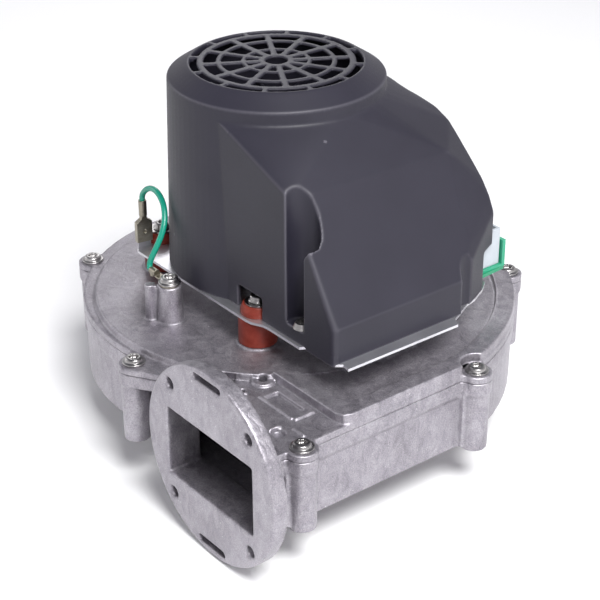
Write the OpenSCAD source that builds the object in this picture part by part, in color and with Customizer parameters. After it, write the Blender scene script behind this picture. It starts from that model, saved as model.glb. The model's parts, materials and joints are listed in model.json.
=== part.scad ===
// Motorised premix gas blower: a die-cast scroll casing with a round outlet flange, a shrouded
// impeller on a motor shaft, and a motor with its electronics under a moulded cover.
// Frame: +Z is the shaft axis, pointing from the inlet to the motor. The origin is the centre of
// the inlet collar's face. The outlet blows towards -Y. Millimetres.

/* [Casing] */
// Radius of the scroll's rim, run back to the +X axis
rim_start_r = 113; // [111:0.5:115]
// How much the rim's radius shrinks per degree, counted anticlockwise from +X
rim_growth = 0.095; // [0.09:0.005:0.1]
// Distance from the shaft axis to the straight outer wall
wall_x = 111.6; // [111.6:0.1:112]
// Thickness of the cast walls
cast_t = 3.5; // [3:0.5:3.5]
// Height of the inlet collar under the casing
collar_h = 20.5; // [20.5:0.5:24]
// Height of the casing from its underside to the joint between its two halves
casing_h = 33.2; // [33.2:0.2:36]
// Radius of the raised disc on the upper half
disc_r = 84.5; // [83:0.5:85]

/* [Outlet flange] */
// Distance of the flange's centre from the shaft axis, along +X
flange_x = 84.6; // [84:0.2:86]
// Distance of the flange's face from the shaft axis, along -Y
flange_face = 100.6; // [100:0.2:102]
// Radius of the flange
flange_r = 43.3; // [43:0.1:44]
// Thickness of the flange
flange_t = 7; // [6:0.5:7.5]
// Width of the outlet
outlet_w = 58; // [54:1:58]
// Height of the outlet
outlet_h = 32; // [28:1:32]
// Spacing of the four tapped holes, both ways
flange_pitch = 53; // [52:0.5:54]
// Diameter of the tapped holes
flange_hole_d = 5; // [4:0.5:6]
// Length of the two slots, end to end
slot_l = 18.5; // [14:0.5:20]
// Width of the two slots
slot_w = 3; // [2.5:0.5:3.5]

/* [Inlet] */
// Diameter of the inlet bore
inlet_d = 84; // [80:1:86]
// Pitch circle of the four inlet screws
inlet_pcd = 112; // [110:1:114]
// Diameter of the inlet screws' tapped holes
inlet_hole_d = 5; // [4:0.5:6]

/* [Motor] */
// Diameter of the impeller
impeller_d = 148; // [140:1:150]
// Number of impeller blades
blades = 12; // [9:1:14]
// Diameter of the motor shaft in its bearings
shaft_d = 8; // [8]
// Diameter of the stator
stator_d = 84; // [82:1:84]
// Number of stator teeth
teeth = 6; // [6]
// Height of the motor plate's top face above the joint between the casing's halves
plate_rise = 20.8; // [20.8:0.2:21.6]

/* [Motor cover] */
// Radius of the motor cover at its foot
cover_r = 50; // [49.5:0.5:51]
// Radius of the motor cover under its chamfer
cover_top_r = 47.8; // [47:0.2:48.4]
// Height of the motor cover
cover_h = 93.5; // [92:0.5:95]
// Wall thickness of the motor cover
cover_t = 2.2; // [1.8:0.1:2.4]
// Number of spokes in the grille
spokes = 12; // [12]

/* [Hidden] */
$fn = 72;
eps = 0.01;

// Heights above the inlet face
floor_z = collar_h;
joint_z = collar_h + casing_h;
lug_t = 3.2;
lug_z = joint_z + lug_t;
disc_z = lug_z + 3.1;
pan_z = disc_z - 0.5;
roof_z = disc_z + 1.3;
ceiling_z = disc_z - lug_t;
plate_z = joint_z + plate_rise;
plate_t = 1.2;
cover_top_z = plate_z + cover_h;

// Scroll outline
spiral_from = 7;
spiral_to = 296;
spiral_steps = 58;
tongue_x = 51.5;
duct_back_y = -88;
rim_drop = 7.2;
wall_inset = 1;
disc_edge_y = -53;
roof_w = 8.5;

// Cover screws: x, y and the direction in which each lug runs into the casing
lugs = [
    [-77.4, -53.1, 34], [15.7, -90.3, 95], [112.5, -74.8, 180], [112.3, 19.5, 190],
    [55.0, 93.7, 240], [-38.9, 96.3, 292], [-94.7, 28.9, 343]
];
lug_r = 6.8;
column_r = 6;
screw_hole_r = 2.1;
screw_r = 2;

// Motor fixing
isolators = [[38.6, -40.9], [-46.4, -33], [3.4, 56.1]];
isolator_post_r = 3.6;
isolator_top_z = plate_z + 4.5;
post_xy = [-1, -59.5];
tab_xy = [-44.4, -44.2];
tab_turn = 82;
bolt_ring_r = 38.25;
bolt_r = 1.9;
lower_bearing_z = plate_z + 5.5;
upper_bearing_z = plate_z + 54.5;
bearing_w = 7;
bearing_out_r = 11;
race_r = 9.3;
inner_race_r = 5.7;
ball_ring_r = 7.5;
ball_r = 1.9;
ball_count = 7;
stack_z = plate_z + 18.5;
stack_h = 28;
fan_z = plate_z + 65.5;

// Impeller heights
wheel_top_z = ceiling_z - 5.3;
back_plate_t = 1.5;
eye_r = 38;
sheet_t = 1.2;
eye_z = wheel_top_z - 24.5;
shroud_edge_z = wheel_top_z - 14.5;

// Motor cover: the box beside the motor, front to back, and its two sloping faces
box_front_y = -44.5;
box_back_y = 57;
box_x = 95;
shoulder_r = 47.5;
shoulder_z = plate_z + 82.5;
fold_x = 67;
fold_z = plate_z + 63.6;
band_z = plate_z + 16;
wells = [[70.4, -41.5], [24, 57.5]];
well_r = 7.6;
well_floor_z = plate_z + 6.5;
grille_r = 37.7;
board_z = plate_z + 5.3;
board_t = 1.6;
carrier_t = 1.2;
header_xy = [66.2, 51];
header_floor_t = 2;

cast_colour = [0.72, 0.72, 0.74];
black_colour = [0.25, 0.25, 0.29];
steel_colour = [0.78, 0.76, 0.72];
zinc_colour = [0.66, 0.68, 0.72];
silicone_colour = [0.62, 0.22, 0.14];
board_colour = [0.10, 0.45, 0.30];
copper_colour = [0.72, 0.42, 0.22];

// ---------- Small shapes ----------

module rounded_rect(w, h, r) {
    square([w - 2 * r, h], center = true);
    square([w, h - 2 * r], center = true);
    for (sx = [-1, 1]) {
        for (sy = [-1, 1]) {
            translate([sx * (w / 2 - r), sy * (h / 2 - r)]) circle(r);
        }
    }
}

module slot_shape(l, w) {
    square([l - w, w], center = true);
    for (s = [-1, 1]) {
        translate([s * (l - w) / 2, 0]) circle(w / 2);
    }
}

module ring(r_out, r_in, h) {
    difference() {
        cylinder(r = r_out, h = h);
        translate([0, 0, -1]) cylinder(r = r_in, h = h + 2);
    }
}

module around(count, start = 0) {
    for (i = [0 : count - 1]) {
        rotate([0, 0, start + i * 360 / count]) children();
    }
}

module at_isolators() {
    for (p = isolators) {
        translate([p[0], p[1], 0]) children();
    }
}

module at_lugs() {
    for (p = lugs) {
        translate([p[0], p[1], 0]) children();
    }
}

// Six-lobed driver recess
module lobe_recess(r, depth) {
    translate([0, 0, -depth]) linear_extrude(depth + 1) {
        circle(r * 0.72);
        for (i = [0 : 5]) {
            rotate(i * 60) translate([r * 0.72, 0]) circle(r * 0.28, $fn = 16);
        }
    }
}

// Washer-head screw, its head resting at z = 0, with the shank running down
module washer_screw(head_r, washer_r, head_h, shank_r, shank_l) {
    washer_h = 0.9;
    difference() {
        union() {
            cylinder(r = washer_r, h = washer_h, $fn = 36);
            translate([0, 0, washer_h]) {
                cylinder(r1 = head_r, r2 = head_r * 0.82, h = head_h - washer_h, $fn = 36);
            }
            translate([0, 0, -shank_l]) cylinder(r = shank_r, h = shank_l + eps, $fn = 24);
        }
        translate([0, 0, head_h]) lobe_recess(head_r * 0.5, head_h * 0.55);
    }
}

// ---------- Scroll outlines ----------

function rim_r(a) = rim_start_r - rim_growth * a;
function spiral(inset, from, to, steps) = [
    for (i = [0 : steps])
        let (a = from + (to - from) * i / steps)
        (rim_r(a) - inset) * [cos(a), sin(a)]
];
function casing_points(inset) = concat(
    spiral(inset, spiral_from, spiral_to, spiral_steps),
    [
        [tongue_x + 1.1 * inset, duct_back_y + inset],
        [wall_x - inset, duct_back_y + inset]
    ]
);

module casing_shape(inset) {
    polygon(casing_points(inset));
}

// One lug: a round ear with flanks that spread into the casing
module lug_shape(r, spread, reach) {
    circle(r);
    polygon([[0, -r], [reach, -spread / 2], [reach, spread / 2], [0, r]]);
}

module all_lugs(r, spread, reach) {
    for (p = lugs) {
        translate([p[0], p[1]]) rotate(p[2]) lug_shape(r, spread, reach);
    }
    // webs that tie the two lugs beside the outlet to its duct
    polygon([[19.5, -96], [33, -87.3], [44, -81], [20, -80]]);
    polygon([[104, duct_back_y + 0.3], [109.5, -81], [104, -68], [96, -80]]);
}

module outline_with_lugs() {
    difference() {
        union() {
            casing_shape(0);
            all_lugs(lug_r, 24, 13);
        }
        translate([52.2, -120]) square([80, 120 + duct_back_y + 0.3]);
    }
}

// ---------- Casing ----------

module flange_frame() {
    translate([flange_x, -flange_face, joint_z - 10.25]) rotate([90, 0, 0]) children();
}

module flange_holes() {
    for (sx = [-1, 1]) {
        for (sy = [-1, 1]) {
            translate([sx * flange_pitch / 2, sy * flange_pitch / 2, -flange_t - 1]) {
                cylinder(d = flange_hole_d, h = flange_t + 2, $fn = 36);
                translate([0, 0, flange_t]) {
                    cylinder(d1 = flange_hole_d, d2 = flange_hole_d + 4, h = 2, $fn = 36);
                }
            }
        }
    }
    for (s = [-1, 1]) {
        translate([0, s * 38.9, -flange_t - 1]) linear_extrude(flange_t + 2) slot_shape(slot_l, slot_w);
    }
}

module outlet_neck() {
    neck_w = outlet_w + 6.2;
    top_z = joint_z + 7.5;
    translate([flange_x - neck_w / 2, -flange_face + 1, floor_z]) {
        cube([neck_w, flange_face - 1 + duct_back_y, top_z - floor_z]);
    }
    // tie to the casing's front wall, which stands back under the rim
    translate([flange_x - neck_w / 2 + 1, duct_back_y - 1, floor_z]) {
        cube([neck_w - 7, 3, joint_z - 1 - floor_z]);
    }
}

// The air path through the neck: its roof slopes down to pass under the joint
module outlet_passage() {
    low_z = joint_z - 10.25 - 1.3 - outlet_h / 2;
    top_z = low_z + outlet_h;
    inner_z = joint_z - 3;
    front_y = -flange_face - 1;
    translate([flange_x - outlet_w / 2, 0, 0]) rotate([90, 0, 90]) linear_extrude(outlet_w) {
        polygon([
            [front_y, low_z], [duct_back_y - eps, low_z], [duct_back_y - eps, inner_z],
            [-flange_face + 5, top_z], [front_y, top_z]
        ]);
    }
    inner_w = wall_x - cast_t - (flange_x - outlet_w / 2);
    translate([flange_x - outlet_w / 2, duct_back_y - 1, low_z]) {
        cube([inner_w, cast_t + 3, inner_z - low_z]);
    }
}

module inlet_collar() {
    boss_r = 6;
    difference() {
        union() {
            cylinder(r = inlet_d / 2 + 5, h = floor_z + eps);
            cylinder(r = inlet_d / 2 + 8, h = 4);
            around(4, 45) translate([inlet_pcd / 2, 0, 0]) {
                cylinder(r = boss_r, h = floor_z + eps);
                translate([-10, -boss_r, 0]) cube([10, 2 * boss_r, floor_z + eps]);
            }
        }
        translate([0, 0, -1]) cylinder(d = inlet_d, h = floor_z + 1, $fn = 96);
        around(4, 45) translate([inlet_pcd / 2, 0, -1]) cylinder(d = inlet_hole_d, h = 15, $fn = 36);
    }
}

module inlet_nozzle() {
    nozzle_r = eye_r - 1.5;
    rotate_extrude($fn = 96) polygon([
        [nozzle_r - 2.5, eye_z + 4], [nozzle_r, eye_z + 4], [nozzle_r, floor_z + 3 - eps],
        [inlet_d / 2 + 2, floor_z + 3 - eps], [inlet_d / 2 + 2, floor_z],
        [inlet_d / 2 - 1, floor_z], [nozzle_r - 2.5, floor_z + 4]
    ]);
}

module lower_columns() {
    foot_z = floor_z - 1;
    ear_h = 6.2;
    column_h = joint_z - foot_z - 3;
    for (p = lugs) {
        translate([p[0], p[1], foot_z]) rotate([0, 0, p[2]]) {
            cylinder(r = column_r, h = column_h);
            translate([0, -3, 2]) cube([6, 6, column_h - 2]);
            translate([0, 5.4, 2]) cube([5.5, 2.6, column_h - 2]);
        }
    }
    translate([0, 0, joint_z - ear_h]) linear_extrude(ear_h) difference() {
        all_lugs(lug_r, 24, 13);
        casing_shape(cast_t - 0.5);
    }
}

module lower_housing() color(cast_colour) {
    floor_t = 3;
    seal_z = joint_z - 1.2;
    difference() {
        union() {
            difference() {
                union() {
                    translate([0, 0, floor_z]) linear_extrude(casing_h) casing_shape(wall_inset);
                    translate([0, 0, joint_z - rim_drop]) linear_extrude(rim_drop) casing_shape(0);
                    outlet_neck();
                    lower_columns();
                }
                translate([0, 0, floor_z + floor_t]) linear_extrude(casing_h) casing_shape(cast_t);
                translate([0, 0, floor_z - 1]) cylinder(d = inlet_d, h = floor_t + 2, $fn = 96);
            }
            // sill across the end of the outlet duct
            translate([flange_x - outlet_w / 2 - 1, duct_back_y, floor_z + 1]) {
                cube([wall_x - cast_t - flange_x + outlet_w / 2 + 1.5, cast_t + 2, 4.4]);
            }
            flange_frame() {
                translate([0, 0, -flange_t]) cylinder(r = flange_r, h = flange_t - 0.6, $fn = 120);
                translate([0, 0, -0.6]) cylinder(r1 = flange_r, r2 = flange_r - 0.6, h = 0.6, $fn = 120);
            }
            inlet_collar();
            inlet_nozzle();
        }
        outlet_passage();
        flange_frame() flange_holes();
        translate([0, 0, seal_z]) linear_extrude(3) difference() {
            casing_shape(1.5);
            casing_shape(2.9);
        }
        translate([0, 0, joint_z - 18]) at_lugs() cylinder(r = screw_hole_r, h = 20, $fn = 24);
    }
}

module housing_seal() color([0.12, 0.12, 0.12]) {
    translate([0, 0, joint_z - 1.2]) linear_extrude(1.2) difference() {
        casing_shape(1.6);
        casing_shape(2.8);
    }
}

// The part of the roof that stands above the disc, from the back round to the outlet
module roof_shape(inset) {
    corner = wall_x - 0.3 - inset;
    front = disc_edge_y + inset;
    polygon(concat(
        [[40, front], [corner - 5, front], [corner - 1.5, front + 1.5], [corner, front + 5]],
        spiral(0.3 + inset, 7, 150, 32),
        [[-70, 40], [0, 0]]
    ));
}

module post_with_shoulder(r_foot, r_top, top) {
    cylinder(r1 = r_foot, r2 = r_top, h = top - disc_z, $fn = 48);
}

module cover_castings() {
    boss_h = 0.8;
    at_isolators() translate([0, 0, disc_z - eps]) {
        cylinder(r = 9.3, h = boss_h);
        cylinder(r = isolator_post_r, h = isolator_top_z - disc_z);
    }
    translate([post_xy[0], post_xy[1], disc_z - eps]) {
        post_with_shoulder(6, 5.3, joint_z + 23.8);
        // a second, thinner boss and the web that ties it to the first
        rotate([0, 0, 225]) {
            translate([9, 0, 0]) post_with_shoulder(2.6, 2.4, joint_z + 23.4);
            translate([0, -1.4, 0]) cube([8, 2.8, joint_z + 22.8 - disc_z]);
        }
    }
    translate([-1.6, -73.6, disc_z - eps]) ring(3.1, 2.6, 0.35);
    // seat of the shaft seal
    translate([0, 0, disc_z - eps]) ring(26, 22.5, 0.6);
}

// Bosses and ribs on the flat between the scroll and the outlet flange
module shelf_details() {
    translate([63.5, -57, lug_z - eps]) cylinder(r = 4.9, h = 1.4);
    translate([64.5, -68.3, lug_z - eps]) cylinder(r = 2.7, h = 0.9);
    for (y = [[-65, 10], [-78, 6]]) {
        translate([94.5, y[0], lug_z - eps]) cube([1.3, y[1], 1.1]);
    }
    translate([72, -66, lug_z - eps]) cube([22, 1.3, 1.1]);
    translate([100, -70, lug_z - eps]) cube([7, 1.3, 1.1]);
}

module shelf_cuts() {
    translate([63.5, -57, lug_z - 2]) cylinder(r = 1.7, h = 6, $fn = 24);
    translate([64.5, -68.3, lug_z - 2]) cylinder(r = 1.2, h = 6, $fn = 24);
    translate([0, 0, lug_z - 1.7]) linear_extrude(4) {
        polygon([[46, -68], [53.5, -63], [56.5, -68.5]]);
        translate([82, -60.5]) rounded_rect(18, 8, 1);
        translate([98.5, -76]) circle(3, $fn = 32);
    }
}

module upper_cover() color(cast_colour) {
    difference() {
        union() {
            translate([0, 0, joint_z]) linear_extrude(lug_t) outline_with_lugs();
            translate([0, 0, joint_z]) cylinder(r = disc_r - 1, h = disc_z - joint_z, $fn = 120);
            translate([0, 0, lug_z]) cylinder(r1 = disc_r + 0.8, r2 = disc_r, h = disc_z - lug_z, $fn = 120);
            difference() {
                translate([0, 0, joint_z]) linear_extrude(roof_z - joint_z) roof_shape(0);
                translate([0, 0, pan_z]) linear_extrude(5) roof_shape(roof_w);
                translate([0, 0, pan_z]) cylinder(r = disc_r - 1, h = 5, $fn = 120);
            }
            cover_castings();
            shelf_details();
        }
        // the room over the impeller
        translate([0, 0, joint_z - 1]) linear_extrude(ceiling_z - joint_z + 1) intersection() {
            casing_shape(cast_t);
            union() {
                circle(disc_r - lug_t);
                roof_shape(lug_t);
            }
        }
        translate([0, 0, joint_z - 1]) cylinder(r = 12, h = 20, $fn = 48);
        translate([0, 0, disc_z - 1.2]) cylinder(r = 18, h = 5);
        at_lugs() {
            translate([0, 0, joint_z - 1]) cylinder(r = screw_hole_r + 0.2, h = 20, $fn = 24);
            translate([0, 0, lug_z]) cylinder(r = 7.2, h = 20, $fn = 48);
        }
        at_isolators() translate([0, 0, isolator_top_z - 12]) cylinder(r = 1.75, h = 14, $fn = 24);
        translate([post_xy[0], post_xy[1], joint_z + 12]) cylinder(r = 1.75, h = 14, $fn = 24);
        around(3, 30) translate([20, 0, disc_z - 2.5]) cylinder(r = 1.1, h = 5, $fn = 24);
        shelf_cuts();
    }
}

module cover_screws() color(steel_colour) {
    at_lugs() translate([0, 0, lug_z]) washer_screw(3.8, 5.1, 2.6, screw_r, 15);
}

// ---------- Shaft seal ----------

module shaft_seal() color([0.15, 0.15, 0.16]) {
    translate([0, 0, disc_z - 1.2]) ring(17.9, shaft_d / 2 + 0.06, 1.2);
}

module seal_retainer() color(zinc_colour) {
    translate([0, 0, disc_z]) difference() {
        cylinder(r = 22.2, h = 0.8);
        translate([0, 0, -1]) cylinder(r = 7, h = 3);
        around(3, 30) translate([20, 0, -1]) cylinder(r = 1.2, h = 3, $fn = 24);
    }
}

module seal_retainer_screws() color(steel_colour) {
    around(3, 30) translate([20, 0, disc_z + 0.8]) {
        difference() {
            union() {
                cylinder(r = 1.9, h = 1.3, $fn = 24);
                translate([0, 0, -3]) cylinder(r = 1, h = 3 + eps, $fn = 24);
            }
            translate([0, 0, 1.3]) lobe_recess(1, 0.8);
        }
    }
}

// ---------- Motor plate and its isolators ----------

module isolator() {
    groove_r = 6;
    rotate_extrude() polygon([
        [isolator_post_r + 0.1, disc_z + 0.8], [8.6, disc_z + 0.8], [8.6, plate_z - plate_t],
        [groove_r, plate_z - plate_t], [groove_r, plate_z], [7.5, plate_z], [7.5, plate_z + 2],
        [6.5, isolator_top_z], [isolator_post_r + 0.1, isolator_top_z]
    ]);
}

module isolator_at(p) color(silicone_colour) {
    translate([p[0], p[1], 0]) isolator();
}

module isolator_front() {
    isolator_at(isolators[0]);
}

module isolator_left() {
    isolator_at(isolators[1]);
}

module isolator_rear() {
    isolator_at(isolators[2]);
}

module isolator_washers() color(steel_colour) {
    at_isolators() translate([0, 0, isolator_top_z]) ring(5.6, 1.9, 0.9);
}

module isolator_screws() color(steel_colour) {
    at_isolators() translate([0, 0, isolator_top_z + 0.9]) washer_screw(3.4, 4, 3, 1.65, 11);
}

module plate_shape() {
    polygon([
        [-42.4, -49.3], [41, -49.3], [44.5, -48.8], [49.5, -46.4], [53, -46], [74, -46],
        [75.5, -43.4], [94, -43.4], [96.2, -40.6], [100.3, -41.4], [100.6, 18.6], [96.5, 20.8],
        [89.8, 34], [88.3, 40], [84, 48.6], [80, 54],
        [64, 57], [16, 66], [-10, 66], [-40, 36], [-52, 16], [-57, -8], [-58, -26], [-56, -36],
        [-49.5, -43.5], [-44.6, -48]
    ]);
}

module motor_plate() color(zinc_colour) {
    tab_w = 6.3;
    tab_t = 0.8;
    difference() {
        union() {
            translate([0, 0, plate_z - plate_t]) linear_extrude(plate_t) plate_shape();
            // upturned earth tab
            translate([tab_xy[0], tab_xy[1], plate_z - plate_t]) rotate([0, 0, tab_turn]) {
                translate([-tab_w / 2, -tab_t / 2, 0]) cube([tab_w, tab_t, 13.5]);
            }
        }
        translate([0, 0, plate_z - 5]) {
            cylinder(r = 15, h = 10);
            at_isolators() cylinder(r = 6.05, h = 10);
            around(4, 20) translate([30, 0, 0]) cylinder(r = 1.7, h = 10, $fn = 24);
            for (w = wells) {
                translate(w) cylinder(r = 1.9, h = 10, $fn = 24);
            }
        }
    }
}

// ---------- Earth connection ----------

earth_lead_z = joint_z + 23.8;
wire_d = 2.7;
// The lead's route: from the ring terminal up and over, then down into the receptacle
wire_route = [
    [-14.6, -60, 79.3], [-16, -60, 79.4], [-17, -59.4, 81.2], [-16.2, -58.4, 84.5], [-15.4, -56.5, 88.5],
    [-15.5, -53.7, 92.7], [-16.8, -50.6, 97.4], [-19.5, -48.2, 101.6], [-23.5, -46.4, 105.2],
    [-28.5, -45.4, 107.5], [-33.5, -44.8, 107.8], [-38.3, -44.5, 106.2], [-42, -44.3, 103.4],
    [-44.2, -44.2, 100.6], [-44.4, -44.2, 99], [-44.4, -44.2, 98]
];
wire_sides = 8;

function unit(v) = v / norm(v);
function tangent(p, i) = unit(p[min(i + 1, len(p) - 1)] - p[max(i - 1, 0)]);
function ring_points(c, t, r, n) =
    let (u = unit(cross(t, [0.3, 0.9, 0.1])), w = cross(t, u))
    [for (k = [0 : n - 1]) c + r * (u * cos(k * 360 / n) + w * sin(k * 360 / n))];
module sweep_tube(path, r, n) {
    count = len(path);
    points = [for (i = [0 : count - 1]) each ring_points(path[i], tangent(path, i), r, n)];
    sides = [
        for (i = [0 : count - 2])
            for (k = [0 : n - 1])
                [i * n + k, (i + 1) * n + k, (i + 1) * n + (k + 1) % n, i * n + (k + 1) % n]
    ];
    first = [for (k = [0 : n - 1]) k];
    last = [for (k = [n - 1 : -1 : 0]) (count - 1) * n + k];
    polyhedron(points, concat([first], sides, [last]));
}

module earth_wire() color([0.05, 0.60, 0.45]) {
    sweep_tube(wire_route, wire_d / 2, wire_sides);
}

module earth_ring_terminal() color(steel_colour) {
    translate([post_xy[0], post_xy[1], earth_lead_z]) difference() {
        union() {
            cylinder(r = 4.6, h = 0.8, $fn = 48);
            translate([-10.5, -1.6, 0]) cube([10, 3.6, 0.8]);
            // crimp barrel
            translate([-13.5, -0.5, 1.8]) rotate([0, 90, 0]) cylinder(r = 1.7, h = 4.5, $fn = 32);
            translate([-11.5, -0.5, 0]) cylinder(r = 1.9, h = 1.2, $fn = 32);
        }
        translate([0, 0, -1]) cylinder(r = 1.9, h = 3, $fn = 24);
    }
}

module earth_screw() color(steel_colour) {
    translate([post_xy[0], post_xy[1], earth_lead_z + 0.8]) washer_screw(4, 5, 3, 1.65, 9);
}

module earth_receptacle() color([0.62, 0.60, 0.55]) {
    translate([tab_xy[0], tab_xy[1], 0]) rotate([0, 0, tab_turn]) {
        difference() {
            translate([0, 1.3, plate_z + 2.8]) rotate([90, 0, 0]) linear_extrude(2.6) polygon([
                [-3.9, 0], [3.9, 0], [3.9, 9.9], [1.4, 11.6], [1.2, 13.3], [-1.2, 13.3],
                [-1.4, 11.6], [-3.9, 9.9]
            ]);
            translate([-3.25, -0.45, plate_z + 1]) cube([6.5, 0.9, 11.4]);
            translate([0, -3, plate_z + 8]) rotate([-90, 0, 0]) cylinder(r = 0.9, h = 2.4, $fn = 24);
        }
        difference() {
            translate([0, 0, plate_z + 15.9]) cylinder(r = 1.9, h = 7.6, $fn = 32);
        }
    }
}

// ---------- Motor: brackets, stator, bearings ----------

module lower_bearing_bracket() color(cast_colour) {
    foot_t = 3;
    difference() {
        union() {
            translate([0, 0, plate_z]) cylinder(d = stator_d, h = foot_t);
            translate([0, 0, plate_z]) cylinder(r = 14.5, h = 13);
            around(4, 45) translate([bolt_ring_r, 0, plate_z]) cylinder(r = 3.7, h = 18.5, $fn = 36);
            around(4, 45) translate([12, -1.25, plate_z]) cube([25, 2.5, 7]);
        }
        translate([0, 0, plate_z - 1]) cylinder(r = 6, h = 20, $fn = 48);
        translate([0, 0, lower_bearing_z]) cylinder(r = bearing_out_r, h = 20);
        around(4, 45) translate([bolt_ring_r, 0, plate_z + 4]) cylinder(r = bolt_r + 0.1, h = 20, $fn = 24);
        around(4, 20) translate([30, 0, plate_z - 1]) cylinder(r = 1.6, h = 3.5, $fn = 24);
        around(4) translate([26, 0, plate_z - 1]) cylinder(r = 4, h = foot_t + 2, $fn = 36);
    }
}

module upper_bearing_bracket() color(cast_colour) {
    arm_z = stack_z + stack_h;
    difference() {
        union() {
            translate([0, 0, upper_bearing_z - 1]) cylinder(r = 14.5, h = bearing_w + 3.5);
            around(4, 45) {
                translate([bolt_ring_r, 0, arm_z]) cylinder(r = 3.7, h = 12, $fn = 36);
                translate([11, -2.5, arm_z + 8]) cube([26, 5, 4]);
            }
        }
        translate([0, 0, upper_bearing_z - 2]) cylinder(r = bearing_out_r, h = bearing_w + 2.8);
        translate([0, 0, upper_bearing_z]) cylinder(r = 6, h = 20, $fn = 48);
        around(4, 45) translate([bolt_ring_r, 0, arm_z - 1]) cylinder(r = bolt_r + 0.1, h = 20, $fn = 24);
    }
}

module bracket_screws() color(steel_colour) {
    around(4, 20) translate([30, 0, plate_z - plate_t]) {
        translate([0, 0, -1.4]) cylinder(r = 2.8, h = 1.4, $fn = 24);
        translate([0, 0, -eps]) cylinder(r = 1.5, h = 3.4, $fn = 24);
    }
}

module motor_through_bolts() color(steel_colour) {
    top_z = stack_z + stack_h + 12;
    around(4, 45) translate([bolt_ring_r, 0, 0]) difference() {
        union() {
            translate([0, 0, plate_z + 5]) cylinder(r = bolt_r, h = top_z - plate_z - 4, $fn = 24);
            translate([0, 0, top_z]) cylinder(r = 3.4, h = 2.6, $fn = 36);
        }
        translate([0, 0, top_z + 2.6]) lobe_recess(1.7, 1.6);
    }
}

module stator_core() color([0.35, 0.36, 0.38]) {
    yoke_r = 34.5;
    bore_r = 21.2;
    shoe_r = 24;
    translate([0, 0, stack_z]) linear_extrude(stack_h) difference() {
        union() {
            difference() {
                circle(d = stator_d);
                circle(yoke_r);
            }
            for (i = [0 : teeth - 1]) {
                rotate(i * 360 / teeth) translate([shoe_r - 1, -4.5]) square([yoke_r - shoe_r + 2, 9]);
            }
            difference() {
                circle(shoe_r);
                for (i = [0 : teeth - 1]) {
                    rotate((i + 0.5) * 360 / teeth) translate([10, -1.5]) square([20, 3]);
                }
            }
        }
        circle(bore_r);
        for (i = [0 : 3]) {
            rotate(45 + i * 90) translate([bolt_ring_r, 0]) circle(bolt_r + 0.1, $fn = 24);
        }
    }
}

module stator_insulator() color([0.85, 0.84, 0.78]) {
    end_t = 1.5;
    for (z = [stack_z - end_t, stack_z + stack_h]) {
        translate([0, 0, z]) ring(34.4, 33.1, end_t);
    }
    around(teeth) difference() {
        translate([24.6, -5.6, stack_z - end_t]) cube([9.3, 11.2, stack_h + 2 * end_t]);
        translate([20, -4.5, stack_z]) cube([16, 9, stack_h]);
    }
}

module stator_windings() color(copper_colour) {
    around(teeth) translate([28.7, 0, stack_z + stack_h / 2]) rotate([0, 90, 0]) {
        translate([0, 0, -2.9]) linear_extrude(5.8) difference() {
            rounded_rect(stack_h + 12, 19.2, 4);
            square([stack_h + 3, 11.2], center = true);
        }
    }
}

module ball_groove() {
    rotate_extrude() translate([ball_ring_r, 0]) circle(ball_r + 0.15, $fn = 32);
}

module outer_race(z) {
    translate([0, 0, z]) difference() {
        ring(bearing_out_r, race_r, bearing_w);
        translate([0, 0, bearing_w / 2]) ball_groove();
    }
}

module inner_race(z) {
    translate([0, 0, z]) difference() {
        ring(inner_race_r, shaft_d / 2, bearing_w);
        translate([0, 0, bearing_w / 2]) ball_groove();
    }
}

module cage(z) {
    translate([0, 0, z + bearing_w / 2]) difference() {
        translate([0, 0, -2.4]) ring(8.1, 6.9, 4.8);
        around(ball_count) rotate([0, 90, 0]) cylinder(r = ball_r + 0.08, h = 10, $fn = 32);
    }
}

module balls(z) {
    translate([0, 0, z + bearing_w / 2]) around(ball_count) {
        translate([ball_ring_r, 0, 0]) sphere(ball_r, $fn = 32);
    }
}

module lower_bearing_outer_race() color(steel_colour) {
    outer_race(lower_bearing_z);
}

module upper_bearing_outer_race() color(steel_colour) {
    outer_race(upper_bearing_z);
}

module lower_bearing_inner_race() color(steel_colour) {
    inner_race(lower_bearing_z);
}

module upper_bearing_inner_race() color(steel_colour) {
    inner_race(upper_bearing_z);
}

module lower_bearing_cage() color(zinc_colour) {
    cage(lower_bearing_z);
}

module upper_bearing_cage() color(zinc_colour) {
    cage(upper_bearing_z);
}

module lower_bearing_balls() color(steel_colour) {
    balls(lower_bearing_z);
}

module upper_bearing_balls() color(steel_colour) {
    balls(upper_bearing_z);
}

module bearing_preload_spring() color(zinc_colour) {
    translate([0, 0, upper_bearing_z + bearing_w]) ring(bearing_out_r - 0.2, race_r - 0.2, 0.8);
}

// ---------- Rotor ----------

module rotor_shaft() color(steel_colour) {
    stub_z = wheel_top_z - 15.2;
    translate([0, 0, stub_z]) cylinder(d = shaft_d, h = fan_z + 10.5 - stub_z, $fn = 48);
    translate([0, 0, stub_z - 7]) cylinder(r = 3, h = 7 + eps, $fn = 36);
}

module rotor_core() color([0.40, 0.41, 0.43]) {
    translate([0, 0, stack_z - 1]) ring(17.4, shaft_d / 2 + 0.02, stack_h + 2);
}

module rotor_magnets() color([0.20, 0.20, 0.22]) {
    gap_w = 1.6;
    around(4) intersection() {
        translate([0, 0, stack_z - 0.5]) ring(20.4, 17.45, stack_h + 1);
        translate([gap_w / 2, gap_w / 2, stack_z - 1]) cube([30, 30, stack_h + 2]);
    }
}

module cooling_fan() color(black_colour) {
    fan_r = 30;
    difference() {
        union() {
            translate([0, 0, fan_z]) cylinder(r = 9, h = 10);
            translate([0, 0, fan_z]) cylinder(r = fan_r, h = 1.6);
            around(9) translate([8, -0.7, fan_z + 1]) cube([fan_r - 8.6, 1.4, 7.5]);
        }
        translate([0, 0, fan_z - 1]) cylinder(d = shaft_d, h = 20, $fn = 48);
    }
}

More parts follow.
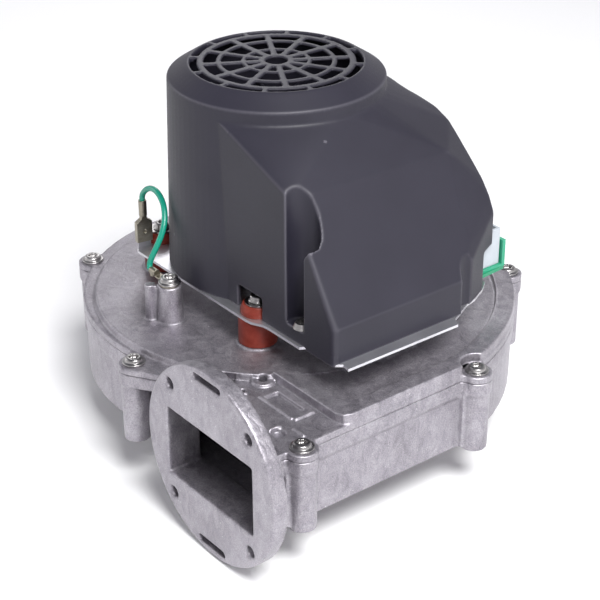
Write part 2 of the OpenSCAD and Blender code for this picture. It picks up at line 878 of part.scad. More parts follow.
// ---------- Impeller ----------

shroud_foot_z = eye_z + 4;
function shroud_z(r) = shroud_foot_z + (shroud_edge_z - shroud_foot_z) * (r - eye_r) / (impeller_d / 2 - eye_r);

module impeller_hub() color(zinc_colour) {
    rotate_extrude() polygon([
        [shaft_d / 2, wheel_top_z - 15.2], [10, wheel_top_z - 15.2], [10, wheel_top_z],
        [20, wheel_top_z], [20, wheel_top_z + 2], [8, wheel_top_z + 2], [8, wheel_top_z + 4],
        [shaft_d / 2, wheel_top_z + 4]
    ]);
}

module impeller_back_plate() color(zinc_colour) {
    translate([0, 0, wheel_top_z - back_plate_t]) ring(impeller_d / 2, 10.05, back_plate_t);
}

module impeller_blades() color(zinc_colour) {
    arc_r = 40;
    arc_x = 45;
    tip_r = impeller_d / 2 - 1;
    root_r = eye_r + 2;
    plate_under = wheel_top_z - back_plate_t;
    intersection() {
        translate([0, 0, eye_z]) linear_extrude(plate_under - eye_z) {
            for (i = [0 : blades - 1]) {
                rotate(i * 360 / blades) difference() {
                    intersection() {
                        translate([arc_x, 0]) circle(arc_r + sheet_t / 2);
                        circle(tip_r);
                        translate([0, -90]) square([90, 90]);
                    }
                    translate([arc_x, 0]) circle(arc_r - sheet_t / 2);
                    circle(root_r);
                }
            }
        }
        rotate_extrude($fn = 96) polygon([
            [root_r - 1, shroud_z(root_r - 1) + sheet_t], [tip_r + 1, shroud_z(tip_r + 1) + sheet_t],
            [tip_r + 1, plate_under], [root_r - 1, plate_under]
        ]);
    }
}

module impeller_shroud() color(zinc_colour) {
    edge_r = impeller_d / 2;
    rotate_extrude($fn = 96) polygon([
        [eye_r, eye_z], [eye_r + sheet_t, eye_z], [eye_r + sheet_t, shroud_z(eye_r + sheet_t)],
        [edge_r, shroud_edge_z], [edge_r, shroud_edge_z + sheet_t], [eye_r, shroud_z(eye_r) + sheet_t]
    ]);
}

module impeller_washer() color(steel_colour) {
    translate([0, 0, wheel_top_z - 16.4]) ring(7, 3.1, 1.2);
}

module impeller_nut() color(steel_colour) {
    translate([0, 0, wheel_top_z - 21.4]) difference() {
        cylinder(r = 5.7, h = 5, $fn = 6);
        translate([0, 0, -1]) cylinder(r = 3.05, h = 7, $fn = 36);
    }
}

// ---------- Electronics ----------

module board_shape() {
    difference() {
        polygon([
            [50, -30], [89.5, -30], [89.5, 22], [84, 27], [81.5, 36], [82, 44.5], [80.5, 64.5],
            [62, 64.5], [62, 49], [38, 49], [30, 42]
        ]);
        circle(46);
    }
}

module circuit_board() color(board_colour) {
    translate([0, 0, board_z - board_t]) linear_extrude(board_t) board_shape();
}

module board_spacers() color([0.88, 0.88, 0.85]) {
    for (p = [[86, -26], [56, -26], [86, 20], [48, 44]]) {
        translate([p[0], p[1], plate_z]) cylinder(r = 2.6, h = board_z - board_t - plate_z, $fn = 32);
    }
}

module board_capacitors() color([0.14, 0.15, 0.20]) {
    for (p = [[77, -20], [77, -1]]) {
        translate([p[0], p[1], board_z]) {
            cylinder(r = 8, h = 18);
            cylinder(r = 8.3, h = 1.5);
        }
    }
}

module board_choke() color([0.30, 0.32, 0.30]) {
    translate([76, 17, board_z + 5]) rotate_extrude() translate([6, 0]) rounded_rect(4.4, 10, 1.5);
}

module heat_sink() color([0.62, 0.63, 0.66]) {
    fin_h = 20;
    translate([52, -28, board_z]) cube([6, 12, 3]);
    for (i = [0 : 3]) {
        translate([52 + i * 4.5, -28, board_z]) cube([1.6, 12, fin_h]);
    }
    translate([52, -17.5, board_z]) cube([15.1, 1.5, fin_h]);
}

module power_header() color([0.92, 0.94, 0.96]) {
    wall = 1.2;
    size = [13, 11.6, 17.6];
    translate([header_xy[0], header_xy[1], board_z + carrier_t]) difference() {
        cube(size);
        translate([wall, wall, header_floor_t]) cube([size[0] - 2 * wall, size[1] - 2 * wall, size[2]]);
    }
}

module power_header_pins() color([0.62, 0.60, 0.55]) {
    for (i = [0 : 2]) {
        translate([header_xy[0] + 2.6 + i * 3.4, header_xy[1] + 4.8, board_z + carrier_t + header_floor_t]) {
            cube([1, 1, 11]);
        }
    }
}

module connector_carrier() color(board_colour) {
    w = 18.3;
    translate([header_xy[0] - 4, header_xy[1], board_z]) {
        cube([w, 14, carrier_t]);
        translate([0, 12.2, 0]) cube([w, 1.8, carrier_t + 11.5]);
    }
}

// ---------- Motor cover ----------

module drum(r_foot, r_top, r_rim, top) {
    chamfer_z = top - 5.7;
    rotate_extrude($fn = 120) polygon([
        [0, plate_z], [r_foot, plate_z], [r_top, chamfer_z], [r_rim, top], [0, top]
    ]);
}

// The box beside the motor is one convex shape, drawn through its corners and shrunk by the wall inside
function shrunk(p, t) = [
    p[0] * (1 - t / box_x), 6 + (p[1] - 6) * (1 - t / (box_back_y - 6)),
    plate_z + (p[2] - plate_z) * (1 - t / (shoulder_z - plate_z))
];

module cover_box(t) {
    foot = [
        [0, box_front_y], [box_x - 2, box_front_y], [box_x - 0.6, box_front_y + 0.6],
        [box_x, box_front_y + 2], [box_x, 26], [91, 30], [80.3, box_back_y], [8, box_back_y], [0, 49]
    ];
    band = [for (i = [1 : 4]) [foot[i][0], foot[i][1], band_z]];
    fold = [[fold_x, box_front_y, fold_z], [fold_x + 0.5, 40.5, fold_z - 1.5]];
    ridge = [[76.5, 37, fold_z - 16.1], [88, 35.8, fold_z - 35.7]];
    // height of the back edge over the plate, going away from the motor
    back_edge = [
        [8, 70.8], [18.7, 72], [31, 71.8], [41.6, 70.3], [49.2, 67.2], [53.8, 63.4], [64.5, 53.9],
        [72.2, 46.8], [76.9, 40.7], [80.3, 34]
    ];
    shoulder_angles = [asin(box_front_y / shoulder_r) : 7.25 : 91];
    corners = concat(
        [for (p = foot) [p[0], p[1], plate_z]],
        band, fold, ridge,
        [for (p = back_edge) [p[0], box_back_y, plate_z + p[1]]],
        [for (a = shoulder_angles) [shoulder_r * cos(a), shoulder_r * sin(a), shoulder_z]]
    );
    points = [for (p = corners) shrunk(p, t)];
    hull() polyhedron(points = points, faces = [[for (i = [0 : len(points) - 1]) i]]);
}

// Screw well sunk in the box; the first one is partly covered by a lip of the front wall
module screw_well(w) {
    lip_x = 74.6;
    lip_h = 40.5;
    difference() {
        translate([w[0], w[1], well_floor_z]) cylinder(r = well_r, h = cover_h);
        translate([0, box_front_y + 1.4, plate_z]) rotate([90, 0, 0]) linear_extrude(2.4) {
            polygon([[lip_x, 0], [lip_x + 12, 0], [lip_x + 12, lip_h + 14.4], [lip_x, lip_h]]);
        }
    }
}

module grille_openings() {
    hub_hole = 4.8;
    // inner and outer radius of each ring of openings
    rings = [[7.6, 13.3], [15.4, 24], [26.4, 31.6]];
    spoke_w = 3;
    difference() {
        union() {
            for (r = rings) {
                difference() {
                    circle(r[1]);
                    circle(r[0]);
                }
            }
        }
        for (i = [0 : spokes - 1]) {
            rotate(i * 360 / spokes) translate([0, -spoke_w / 2]) square([40, spoke_w]);
        }
    }
    circle(hub_hole);
    difference() {
        circle(grille_r);
        circle(grille_r - 3);
        for (i = [0 : spokes - 1]) {
            rotate((i + 0.5) * 360 / spokes) translate([0, -1.2]) square([60, 2.4]);
        }
    }
}

module motor_cover() color(black_colour) {
    grille_t = 1.4;
    notch = [37.75, 16.9, 10.5];
    step = [95.5, 31.5];
    step_r = 5.6;
    // width, depth and height of the opening for the connectors, and the relief behind the side wall
    port_x = 61.5;
    port_y = 48.2;
    port_h = 18;
    relief = [18.1, 13, 26.5];
    difference() {
        union() {
            drum(cover_r, cover_top_r, grille_r + 1.2, cover_top_z);
            cover_box(0);
            // lip of the front wall, hung over the edge of the plate
            translate([0, 0, plate_z - plate_t - 0.2]) linear_extrude(plate_t + 0.7) polygon([
                [76.2, box_front_y], [box_x - 2, box_front_y], [box_x - 0.6, box_front_y + 0.6],
                [box_x - 0.2, box_front_y + 1.5], [box_x - 0.9, box_front_y + 0.95], [76.2, box_front_y + 0.95]
            ]);
        }
        difference() {
            union() {
                translate([0, 0, -cover_t]) {
                    drum(cover_r - cover_t, cover_top_r - cover_t, grille_r - 1, cover_top_z);
                }
                translate([0, 0, cover_top_z - 5]) cylinder(r = grille_r - 1.5, h = 5 - grille_t);
                translate([0, 0, plate_z - 1]) cylinder(r = cover_r - cover_t, h = 2);
                cover_box(cover_t);
                translate([0, 0, -1]) cover_box(cover_t);
            }
            for (w = wells) {
                translate([w[0], w[1], plate_z]) cylinder(r = well_r + cover_t, h = cover_h);
            }
            translate([step[0], step[1], plate_z]) cylinder(r = step_r + cover_t, h = cover_h);
        }
        for (w = wells) {
            screw_well(w);
            translate([w[0], w[1], plate_z - 1]) cylinder(r = 2.1, h = cover_h, $fn = 24);
        }
        translate([step[0], step[1], plate_z - 1]) cylinder(r = step_r, h = cover_h);
        translate([0, 0, cover_top_z - 5]) linear_extrude(10) grille_openings();
        // window over the front isolator
        translate([notch[0] - notch[1] / 2, box_front_y - 10, plate_z - 1]) cube([notch[1], 14, notch[2] + 1]);
        // arches over the other two isolators
        for (i = [1, 2]) {
            translate([isolators[i][0], isolators[i][1], plate_z - 1]) cylinder(r = 8.4, h = notch[2] + 1);
        }
        // opening for the connectors
        translate([port_x, port_y, plate_z - 1]) cube([40, relief[1], port_h + 1]);
        translate([port_x, port_y, plate_z - 1]) cube(relief);
    }
}

module motor_cover_screws() color(steel_colour) {
    for (w = wells) {
        translate([w[0], w[1], well_floor_z]) {
            difference() {
                union() {
                    cylinder(r1 = 4, r2 = 3, h = 2.4, $fn = 36);
                    translate([0, 0, -9.5]) cylinder(r = 1.8, h = 9.5 + eps, $fn = 24);
                }
                translate([0, 0, 2.4]) lobe_recess(1.8, 1.6);
            }
        }
    }
}

lower_housing();
upper_cover();
housing_seal();
cover_screws();
shaft_seal();
seal_retainer();
seal_retainer_screws();
isolator_front();
isolator_left();
isolator_rear();
isolator_washers();
isolator_screws();
motor_plate();
earth_screw();
earth_ring_terminal();
earth_wire();
earth_receptacle();
lower_bearing_bracket();
upper_bearing_bracket();
bracket_screws();
motor_through_bolts();
stator_core();
stator_insulator();
stator_windings();
lower_bearing_outer_race();
upper_bearing_outer_race();
bearing_preload_spring();
circuit_board();
board_spacers();
board_capacitors();
board_choke();
heat_sink();
power_header();
power_header_pins();
connector_carrier();
motor_cover();
motor_cover_screws();
rotor_shaft();
rotor_core();
rotor_magnets();
lower_bearing_inner_race();
upper_bearing_inner_race();
cooling_fan();
impeller_hub();
impeller_back_plate();
impeller_blades();
impeller_shroud();
impeller_washer();
impeller_nut();
lower_bearing_cage();
lower_bearing_balls();
upper_bearing_cage();
upper_bearing_balls();
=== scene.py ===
"""Looks of a motorised premix gas blower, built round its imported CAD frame."""

import json
import math

import bmesh
import bpy
from mathutils import Matrix, Vector


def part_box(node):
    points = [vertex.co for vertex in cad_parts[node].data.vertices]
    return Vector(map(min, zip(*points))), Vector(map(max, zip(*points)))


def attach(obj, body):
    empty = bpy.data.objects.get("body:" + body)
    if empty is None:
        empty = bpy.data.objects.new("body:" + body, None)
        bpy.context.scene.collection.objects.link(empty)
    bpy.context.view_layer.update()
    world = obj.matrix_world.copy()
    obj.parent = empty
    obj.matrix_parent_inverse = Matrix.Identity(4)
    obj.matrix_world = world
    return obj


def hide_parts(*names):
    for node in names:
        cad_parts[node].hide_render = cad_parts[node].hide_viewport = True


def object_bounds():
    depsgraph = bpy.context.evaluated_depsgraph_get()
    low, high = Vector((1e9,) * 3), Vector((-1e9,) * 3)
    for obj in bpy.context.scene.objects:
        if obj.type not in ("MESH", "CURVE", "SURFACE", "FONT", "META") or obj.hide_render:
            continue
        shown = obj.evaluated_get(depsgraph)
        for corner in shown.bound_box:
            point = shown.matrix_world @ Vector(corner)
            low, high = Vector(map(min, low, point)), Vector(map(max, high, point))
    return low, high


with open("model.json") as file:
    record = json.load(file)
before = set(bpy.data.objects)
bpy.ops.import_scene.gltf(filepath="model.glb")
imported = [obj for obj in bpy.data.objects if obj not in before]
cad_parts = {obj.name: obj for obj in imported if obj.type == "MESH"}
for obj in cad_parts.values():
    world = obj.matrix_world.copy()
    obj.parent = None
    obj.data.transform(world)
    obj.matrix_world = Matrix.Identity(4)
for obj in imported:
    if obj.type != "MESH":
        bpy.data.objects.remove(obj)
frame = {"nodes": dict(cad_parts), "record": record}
cad_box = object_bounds()
nodes = frame["nodes"]
MM = 0.001


# ---------- Camera, floor and light ----------

def camera_axes(azimuth, pitch, roll):
    """Right, up and backward directions of a camera that looks down by pitch, from azimuth."""
    a, p, r = (math.radians(v) for v in (azimuth, pitch, roll))
    back = Vector((math.sin(a) * math.cos(p), -math.cos(a) * math.cos(p), math.sin(p)))
    right = Vector((math.cos(a), math.sin(a), 0))
    up = back.cross(right)
    return (
        right * math.cos(r) + up * math.sin(r),
        up * math.cos(r) - right * math.sin(r),
        back,
    )


def add_camera():
    right, up, back = camera_axes(azimuth=52.0, pitch=28.41, roll=-0.25)
    target = Vector((-3.7, 15.25, 43.2)) * MM
    distance = 0.780
    data = bpy.data.cameras.new("camera")
    data.sensor_width = 36
    data.lens = 98.5
    data.clip_start = 0.01
    data.clip_end = 20
    camera = bpy.data.objects.new("camera", data)
    bpy.context.scene.collection.objects.link(camera)
    camera.matrix_world = Matrix.Translation(target + back * distance) @ Matrix(
        (right, up, back)
    ).transposed().to_4x4()
    bpy.context.scene.camera = camera


def area_light(name, place, aim, size, power, tint=(1, 1, 1)):
    data = bpy.data.lights.new(name, "AREA")
    data.shape = "DISK"
    data.size = size
    data.energy = power
    data.color = tint
    light = bpy.data.objects.new(name, data)
    bpy.context.scene.collection.objects.link(light)
    light.location = place
    light.rotation_euler = (Vector(aim) - Vector(place)).to_track_quat("-Z", "Y").to_euler()


def add_lights():
    world = bpy.data.worlds.new("studio")
    bpy.context.scene.world = world
    world.use_nodes = True
    tree = world.node_tree
    # a pale room that is darker overhead
    direction = tree.nodes.new("ShaderNodeTexCoord").outputs["Generated"]
    split = tree.nodes.new("ShaderNodeSeparateXYZ")
    tree.links.new(direction, split.inputs[0])
    ramp = tree.nodes.new("ShaderNodeValToRGB")
    low, high = ramp.color_ramp.elements
    low.position, low.color = 0.35, (1.0, 0.99, 1.02, 1)
    high.position, high.color = 0.80, (0.21, 0.21, 0.25, 1)
    tree.links.new(split.outputs["Z"], ramp.inputs["Fac"])
    background = tree.nodes["Background"]
    tree.links.new(ramp.outputs["Color"], background.inputs["Color"])
    background.inputs["Strength"].default_value = 0.80
    middle = (0, 0, 0.06)
    area_light("key_light", (0.75, -0.20, 1.10), middle, 0.6, 22)
    area_light("left_light", (-0.95, -0.55, 0.45), middle, 0.5, 1.5)
    area_light("right_light", (1.1, 0.15, 0.5), middle, 0.6, 1, (1.0, 0.98, 1.0))
    area_light("rear_light", (-0.70, 0.47, 0.48), (-0.06, -0.02, 0.055), 0.25, 0.8)


def add_floor():
    bm = bmesh.new()
    bmesh.ops.create_grid(bm, x_segments=1, y_segments=1, size=4)
    mesh = bpy.data.meshes.new("floor")
    bm.to_mesh(mesh)
    bm.free()
    floor = bpy.data.objects.new("floor", mesh)
    bpy.context.scene.collection.objects.link(floor)
    floor.location.z = cad_box[0][2] - 0.3 * MM
    floor.data.materials.append(plain_material("floor", (0.95, 0.95, 0.95), 0.9))


# ---------- Materials ----------

class Shader:
    """A node material under construction: principled shader plus helpers that add nodes."""

    def __init__(self, name):
        self.material = bpy.data.materials.new(name)
        self.material.use_nodes = True
        self.tree = self.material.node_tree
        self.surface = self.tree.nodes["Principled BSDF"]
        self.coords = self.tree.nodes.new("ShaderNodeTexCoord").outputs["Object"]

    def link(self, a, b):
        self.tree.links.new(a, b)

    def noise(self, scale, detail=4, roughness=0.55, stretch=(1, 1, 1), warp=0.0):
        mapping = self.tree.nodes.new("ShaderNodeMapping")
        mapping.inputs["Scale"].default_value = stretch
        self.link(self.coords, mapping.inputs["Vector"])
        node = self.tree.nodes.new("ShaderNodeTexNoise")
        node.inputs["Scale"].default_value = scale
        node.inputs["Detail"].default_value = detail
        node.inputs["Roughness"].default_value = roughness
        node.inputs["Distortion"].default_value = warp
        self.link(mapping.outputs["Vector"], node.inputs["Vector"])
        return node.outputs["Fac"]

    def ramp(self, value, stops):
        node = self.tree.nodes.new("ShaderNodeValToRGB")
        elements = node.color_ramp.elements
        while len(elements) < len(stops):
            elements.new(0.5)
        for element, (place, colour) in zip(elements, stops):
            element.position = place
            element.color = (*colour, 1)
        self.link(value, node.inputs["Fac"])
        return node.outputs["Color"]

    def grey_ramp(self, value, low, high, start=0.0, end=1.0):
        return self.ramp(value, [(start, (low,) * 3), (end, (high,) * 3)])

    def mix(self, a, b, factor, mode="MIX"):
        node = self.tree.nodes.new("ShaderNodeMix")
        node.data_type = "RGBA"
        node.blend_type = mode
        sockets = {"Factor": node.inputs[0], "A": node.inputs[6], "B": node.inputs[7]}
        for socket, value in ((sockets["Factor"], factor), (sockets["A"], a), (sockets["B"], b)):
            if isinstance(value, bpy.types.NodeSocket):
                self.link(value, socket)
            else:
                socket.default_value = value if isinstance(value, float) else (*value, 1)
        return node.outputs[2]

    def bump(self, heights, strength):
        """heights: list of (socket, distance in metres), applied one over the other."""
        normal = None
        for socket, distance in heights:
            node = self.tree.nodes.new("ShaderNodeBump")
            node.inputs["Strength"].default_value = strength
            node.inputs["Distance"].default_value = distance
            self.link(socket, node.inputs["Height"])
            if normal is not None:
                self.link(normal, node.inputs["Normal"])
            normal = node.outputs["Normal"]
        self.link(normal, self.surface.inputs["Normal"])

    def edges(self, low, high):
        """White on convex edges, black elsewhere."""
        geometry = self.tree.nodes.new("ShaderNodeNewGeometry")
        return self.grey_ramp(geometry.outputs["Pointiness"], 0, 1, low, high)


def plain_material(name, colour, roughness):
    shader = Shader(name)
    shader.surface.inputs["Base Color"].default_value = (*colour, 1)
    shader.surface.inputs["Roughness"].default_value = roughness
    return shader.material


def cast_aluminium():
    """Die-cast skin: cloudy and mottled, with pits and bright specks, a painted highlight on convex
    edges and painted shade in concave creases.
    """
    s = Shader("cast_aluminium")
    clouds = s.noise(38, 5, 0.6, warp=0.6)
    flow = s.noise(190, 6, 0.65, stretch=(1, 1, 0.6), warp=1.0)
    grain = s.noise(1700, 3, 0.7)
    specks = s.noise(1100, 2, 0.5)
    base = s.ramp(clouds, [
        (0.30, (0.20, 0.186, 0.21)), (0.50, (0.29, 0.272, 0.305)), (0.72, (0.40, 0.382, 0.42)),
    ])
    veins = s.ramp(flow, [(0.32, (0.22, 0.207, 0.235)), (0.68, (0.54, 0.515, 0.55))])
    base = s.mix(base, veins, 0.5)
    base = s.mix(base, s.grey_ramp(grain, 0.22, 0.80, 0.34, 0.68), 0.38, "OVERLAY")
    base = s.mix(base, (0.72, 0.72, 0.74), s.grey_ramp(specks, 0.0, 0.75, 0.70, 0.76))
    base = s.mix(base, (0.11, 0.11, 0.12), s.grey_ramp(specks, 0.6, 0.0, 0.25, 0.31))
    # painted highlight: lighter on convex edges, broken up by the flow noise
    edge_highlight = s.mix(s.edges(0.53, 0.60), s.grey_ramp(flow, 0.15, 0.85, 0.38, 0.6), 1.0, "MULTIPLY")
    base = s.mix(base, (0.78, 0.77, 0.79), edge_highlight)
    # painted shade: darker in concave creases and corners
    base = s.mix((0.16, 0.155, 0.17), base, s.edges(0.44, 0.49))
    s.link(base, s.surface.inputs["Base Color"])
    s.surface.inputs["Metallic"].default_value = 0.78
    s.link(s.grey_ramp(flow, 0.32, 0.52, 0.3, 0.7), s.surface.inputs["Roughness"])
    s.bump([(clouds, 0.0005), (flow, 0.0005), (grain, 0.00018)], 0.6)
    return s.material


def black_plastic():
    """Glass-filled moulding with a fine spark-eroded texture."""
    s = Shader("black_plastic")
    patches = s.noise(30, 3, 0.5)
    texture = s.noise(2600, 2, 0.6)
    base = s.ramp(patches, [(0.3, (0.0155, 0.0143, 0.0240)), (0.7, (0.0200, 0.0185, 0.0300))])
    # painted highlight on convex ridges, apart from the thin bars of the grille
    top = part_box("motor_cover")[1][2]
    split = s.tree.nodes.new("ShaderNodeSeparateXYZ")
    s.link(s.coords, split.inputs[0])
    below = s.grey_ramp(split.outputs["Z"], 1, 0, top - 4 * MM, top - 2 * MM)
    ridge_highlight = s.mix(s.edges(0.505, 0.54), below, 1.0, "MULTIPLY")
    base = s.mix(base, (0.080, 0.076, 0.094), ridge_highlight)
    s.link(base, s.surface.inputs["Base Color"])
    s.link(s.grey_ramp(texture, 0.44, 0.56, 0.3, 0.7), s.surface.inputs["Roughness"])
    s.surface.inputs["Specular IOR Level"].default_value = 0.42
    s.bump([(texture, 0.00006)], 0.5)
    return s.material


def coloured_plastic(name, colour, roughness=0.35):
    s = Shader(name)
    haze = s.noise(120, 3)
    low = tuple(v * 0.9 for v in colour)
    s.link(s.ramp(haze, [(0.3, low), (0.7, colour)]), s.surface.inputs["Base Color"])
    s.surface.inputs["Roughness"].default_value = roughness
    s.bump([(s.noise(900, 2), 0.00004)], 0.3)
    return s.material


def brushed_metal(name, dark, light, roughness, stretch=(1, 1, 12), scale=500.0):
    s = Shader(name)
    streaks = s.noise(scale, 4, 0.6, stretch=stretch)
    stains = s.noise(90, 4, 0.6, warp=0.5)
    base = s.ramp(streaks, [(0.3, dark), (0.7, light)])
    base = s.mix(base, s.ramp(stains, [(0.35, dark), (0.65, light)]), 0.5)
    s.link(base, s.surface.inputs["Base Color"])
    s.surface.inputs["Metallic"].default_value = 1.0
    sheen = s.grey_ramp(stains, roughness * 0.8, roughness * 1.25, 0.3, 0.7)
    s.link(sheen, s.surface.inputs["Roughness"])
    s.bump([(streaks, 0.00003)], 0.4)
    return s.material


def zinc_sheet():
    """Galvanised sheet: faint spangle, dull sheen."""
    s = Shader("galvanised_steel")
    cells = s.tree.nodes.new("ShaderNodeTexVoronoi")
    cells.inputs["Scale"].default_value = 260
    s.link(s.coords, cells.inputs["Vector"])
    stains = s.noise(70, 4, 0.6, warp=0.4)
    base = s.ramp(stains, [(0.3, (0.26, 0.26, 0.29)), (0.7, (0.42, 0.42, 0.45))])
    base = s.mix(base, cells.outputs["Color"], 0.06, "OVERLAY")
    # painted highlight: lighter on convex edges
    base = s.mix(base, (0.70, 0.70, 0.73), s.edges(0.52, 0.6))
    s.link(base, s.surface.inputs["Base Color"])
    s.surface.inputs["Metallic"].default_value = 0.9
    s.link(s.grey_ramp(stains, 0.28, 0.42, 0.3, 0.7), s.surface.inputs["Roughness"])
    s.bump([(s.noise(700, 3), 0.00004)], 0.4)
    return s.material


def rubber(name, colour, roughness=0.6):
    s = Shader(name)
    dust = s.noise(300, 4, 0.6)
    pale = tuple(min(1, v * 1.35 + 0.01) for v in colour)
    s.link(s.ramp(dust, [(0.35, colour), (0.8, pale)]), s.surface.inputs["Base Color"])
    s.surface.inputs["Roughness"].default_value = roughness
    s.surface.inputs["Specular IOR Level"].default_value = 0.3
    s.bump([(s.noise(1200, 2), 0.00006)], 0.4)
    return s.material


def copper_winding():
    """Round enamelled wires side by side, drawn by a fine wave that also paints shade into the grooves
    between them.
    """
    s = Shader("copper")
    wave = s.tree.nodes.new("ShaderNodeTexWave")
    wave.bands_direction = "Z"
    wave.inputs["Scale"].default_value = 380
    s.link(s.coords, wave.inputs["Vector"])
    # painted shade: darker in the grooves between the wires, where the bump is lowest
    base = s.ramp(wave.outputs["Fac"], [(0.1, (0.25, 0.08, 0.03)), (0.6, (0.72, 0.34, 0.15))])
    s.link(base, s.surface.inputs["Base Color"])
    s.surface.inputs["Metallic"].default_value = 0.9
    s.surface.inputs["Roughness"].default_value = 0.3
    s.bump([(wave.outputs["Fac"], 0.0003)], 0.8)
    return s.material


def make_materials():
    steel_dark, steel_light = (0.24, 0.232, 0.228), (0.52, 0.505, 0.50)
    return {
        "cast_aluminium": cast_aluminium(),
        "black_plastic": black_plastic(),
        "green_plastic": coloured_plastic("green_plastic", (0.03, 0.33, 0.19)),
        "white_plastic": coloured_plastic("white_plastic", (0.46, 0.50, 0.54)),
        "steel": brushed_metal("steel", steel_dark, steel_light, 0.3),
        "galvanised_steel": zinc_sheet(),
        "bearing_steel": brushed_metal(
            "bearing_steel", (0.55, 0.55, 0.57), (0.75, 0.75, 0.77), 0.16,
        ),
        "lamination_steel": brushed_metal(
            "lamination_steel", (0.10, 0.10, 0.11), (0.30, 0.30, 0.32), 0.45,
            stretch=(1, 1, 30), scale=400.0,
        ),
        "copper": copper_winding(),
        "brass": brushed_metal("brass", (0.20, 0.18, 0.14), (0.46, 0.43, 0.36), 0.4),
        "magnet": rubber("magnet", (0.05, 0.05, 0.055), 0.5),
        "silicone": rubber("silicone", (0.17, 0.022, 0.012), 0.4),
        "black_rubber": rubber("black_rubber", (0.02, 0.02, 0.02)),
        "pvc_wire": coloured_plastic("pvc_wire", (0.005, 0.27, 0.18), 0.25),
        "circuit_board": coloured_plastic("circuit_board", (0.02, 0.26, 0.13), 0.4),
    }


# ---------- Pieces ----------

SLOT_OF = {s["node"]: s["material_slot"] for s in frame["record"]["subparts"]}
PLATE_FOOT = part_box("motor_plate")[0][2]
BODY_OF = {n: b for b, members in frame["record"]["behaviour"]["bodies"].items() for n in members}


def finish_piece(obj, node):
    """Puts a new piece on the body and in the material slot of the CAD node that it stands for."""
    obj.data.materials.clear()
    obj.data.materials.append(materials[SLOT_OF[node]])
    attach(obj, BODY_OF[node])
    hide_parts(node)


def new_object(name, mesh):
    obj = bpy.data.objects.new(name, mesh)
    bpy.context.scene.collection.objects.link(obj)
    return obj


def applied(obj):
    """Replaces obj's mesh with what its modifiers make of it."""
    bpy.context.view_layer.update()
    shaped = bpy.data.meshes.new_from_object(obj.evaluated_get(bpy.context.evaluated_depsgraph_get()))
    obj.modifiers.clear()
    obj.data = shaped


def softened(name, node, voxel, passes, rounder=None):
    """The CAD node's shape with its edges and corners rounded, as a casting or a moulding has them.
    rounder(co) is true where they have a wide radius."""
    obj = new_object(name, nodes[node].data.copy())
    remesh = obj.modifiers.new("remesh", "REMESH")
    remesh.mode = "VOXEL"
    remesh.voxel_size = voxel
    remesh.use_smooth_shade = True
    smooth = obj.modifiers.new("smooth", "SMOOTH")
    smooth.factor = 0.5
    smooth.iterations = passes
    applied(obj)
    if rounder:
        group = obj.vertex_groups.new(name="rounder")
        group.add([v.index for v in obj.data.vertices if rounder(v.co)], 1.0, "REPLACE")
        wide = obj.modifiers.new("wide", "SMOOTH")
        wide.factor = 0.5
        wide.iterations = 14
        wide.vertex_group = group.name
        applied(obj)
        obj.vertex_groups.clear()
    finish_piece(obj, node)


def solid_boxes(node):
    """Lowest and highest corner of each separate solid of a CAD node."""
    bm = bmesh.new()
    bm.from_mesh(nodes[node].data)
    bmesh.ops.remove_doubles(bm, verts=bm.verts, dist=1e-6)
    unvisited = set(bm.verts)
    boxes = []
    while unvisited:
        first = unvisited.pop()
        solid, waiting = [first], [first]
        while waiting:
            for edge in waiting.pop().link_edges:
                for vert in edge.verts:
                    if vert in unvisited:
                        unvisited.remove(vert)
                        solid.append(vert)
                        waiting.append(vert)
        boxes.append([[pick(v.co[i] for v in solid) for i in range(3)] for pick in (min, max)])
    bm.free()
    return sorted(boxes)


def turned(bm, centre, profile, steps=72):
    """Adds a turned solid to bm.
    profile: radius, height and six-lobe waviness of each ring, from the bottom up."""
    rings = []
    for radius, height, waves in profile:
        ring = []
        for i in range(steps):
            a = 2 * math.pi * i / steps
            r = radius * (1 + waves * math.cos(6 * a))
            ring.append(bm.verts.new((centre[0] + r * math.cos(a), centre[1] + r * math.sin(a), height)))
        rings.append(ring)
    for low, high in zip(rings, rings[1:]):
        for i in range(steps):
            bm.faces.new((low[i], low[i - 1], high[i - 1], high[i]))
    bm.faces.new(rings[0])
    bm.faces.new(reversed(rings[-1]))


def screw_profile(foot, top, head, washer, height, shank):
    """A screw's rings for turned(), in millimetres. foot and top are its lowest and highest point,
    height is that of the head and its washer, and the rest are radii."""
    seat = top - height
    core = shank * 0.86
    socket = head * 0.5
    pitch, point, plain = 0.7, 0.6, 0.4
    turns = int((seat - plain - foot - point) / pitch)
    thread = []
    for i in range(turns):
        z = foot + point + pitch * i
        thread += [(core, z, 0), (shank, z + pitch / 2, 0)]
    return [
        (shank * 0.6, foot, 0), *thread, (core, seat - 0.3, 0), (shank, seat, 0),
        # the washer's rounded rim
        (washer - 0.3, seat, 0), (washer - 0.06, seat + 0.08, 0), (washer, seat + 0.3, 0),
        (washer, seat + 0.6, 0), (washer - 0.1, seat + 0.8, 0), (washer - 0.35, seat + 0.9, 0),
        # the head
        (head + 0.3, seat + 0.95, 0), (head + 0.05, seat + 1.1, 0), (head, seat + 1.3, 0),
        (head - 0.1, top - 0.6, 0), (head - 0.35, top - 0.25, 0), (head - 0.8, top - 0.06, 0),
        (head - 1.1, top, 0),
        # the recess
        (socket + 0.25, top, 0.10), (socket + 0.05, top - 0.08, 0.12),
        (socket - 0.05, top - 0.3, 0.13), (socket - 0.1, top - height * 0.55, 0.13),
        (socket * 0.3, top - height * 0.62, 0),
    ]


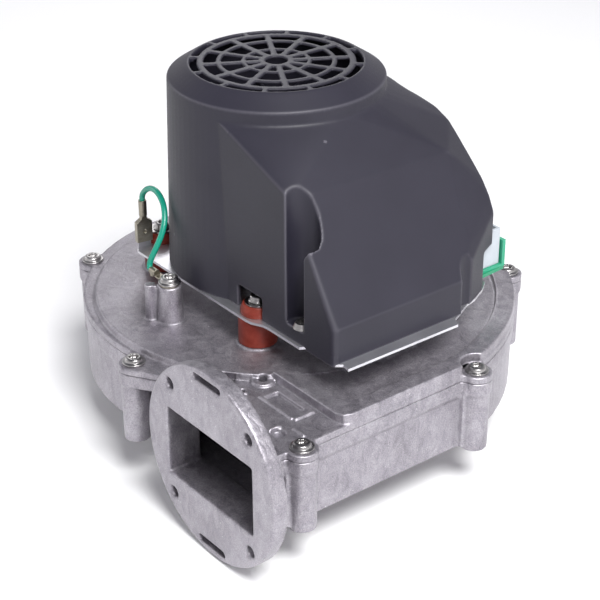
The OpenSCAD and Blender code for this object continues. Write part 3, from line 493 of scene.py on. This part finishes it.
def washer_screws(name, node, head, washer, height, shank):
    """Screws with a flange under a low round-edged head and a six-lobe recess. Sizes in millimetres."""
    bm = bmesh.new()
    for low, high in solid_boxes(node):
        centre = [(low[i] + high[i]) / 2 for i in range(2)]
        profile = screw_profile(low[2] / MM, high[2] / MM, head, washer, height, shank)
        turned(bm, centre, [(r * MM, z * MM, w) for r, z, w in profile])
    bmesh.ops.recalc_face_normals(bm, faces=bm.faces)
    for face in bm.faces:
        face.smooth = True
    mesh = bpy.data.meshes.new(name)
    bm.to_mesh(mesh)
    bm.free()
    finish_piece(new_object(name, mesh), node)


def on_hood_box(co):
    """True on the box beside the hood's drum, above its foot. Sizes in millimetres."""
    foot, roof = 5, 85
    drum_radius, box_side, box_side_radius = 52, 25, 46
    height = (co.z - PLATE_FOOT) / MM
    radius = math.hypot(co.x, co.y) / MM
    on_box_side = co.x > box_side * MM and radius > box_side_radius
    return foot < height < roof and (radius > drum_radius or on_box_side)


# The lead's route, as in the part's source, in millimetres
WIRE_ROUTE = [
    (-14.6, -60, 79.3), (-16, -60, 79.4), (-17, -59.4, 81.2), (-16.2, -58.4, 84.5), (-15.4, -56.5, 88.5),
    (-15.5, -53.7, 92.7), (-16.8, -50.6, 97.4), (-19.5, -48.2, 101.6), (-23.5, -46.4, 105.2),
    (-28.5, -45.4, 107.5), (-33.5, -44.8, 107.8), (-38.3, -44.5, 106.2), (-42, -44.3, 103.4),
    (-44.2, -44.2, 100.6), (-44.4, -44.2, 99), (-44.4, -44.2, 98),
]
WIRE_D = 2.7


def earth_lead():
    curve = bpy.data.curves.new("earth_lead", "CURVE")
    curve.dimensions = "3D"
    curve.bevel_depth = WIRE_D / 2 * MM
    curve.bevel_resolution = 6
    curve.resolution_u = 6
    curve.use_fill_caps = True
    spline = curve.splines.new("NURBS")
    spline.points.add(len(WIRE_ROUTE) - 1)
    for point, place in zip(spline.points, WIRE_ROUTE):
        point.co = (*(v * MM for v in place), 1)
    spline.use_endpoint_u = True
    spline.order_u = 4
    wire = bpy.data.objects.new("earth_lead", curve)
    bpy.context.scene.collection.objects.link(wire)
    finish_piece(wire, "earth_wire")


def build():
    softened("housing", "lower_housing", 0.6 * MM, 6)
    softened("cover", "upper_cover", 0.5 * MM, 4)
    softened("hood", "motor_cover", 0.5 * MM, 7, rounder=on_hood_box)
    for node in ("isolator_front", "isolator_left", "isolator_rear", "power_header", "board_spacers"):
        softened(node + "_soft", node, 0.22 * MM, 3)
    for node in ("earth_receptacle", "earth_ring_terminal"):
        softened(node + "_soft", node, 0.14 * MM, 3)
    washer_screws("cover_screw_heads", "cover_screws", head=3.8, washer=5.1, height=2.6, shank=2)
    washer_screws("isolator_screw_heads", "isolator_screws", head=3.4, washer=4, height=3, shank=1.65)
    washer_screws("earth_screw_head", "earth_screw", head=4, washer=5, height=3, shank=1.65)
    for name, node in nodes.items():
        node.data.materials.clear()
        node.data.materials.append(materials[SLOT_OF[name]])
        for polygon in node.data.polygons:
            polygon.use_smooth = False
    earth_lead()


add_camera()
materials = make_materials()
add_lights()
add_floor()
build()

bpy.context.scene.view_settings.view_transform = "Standard"
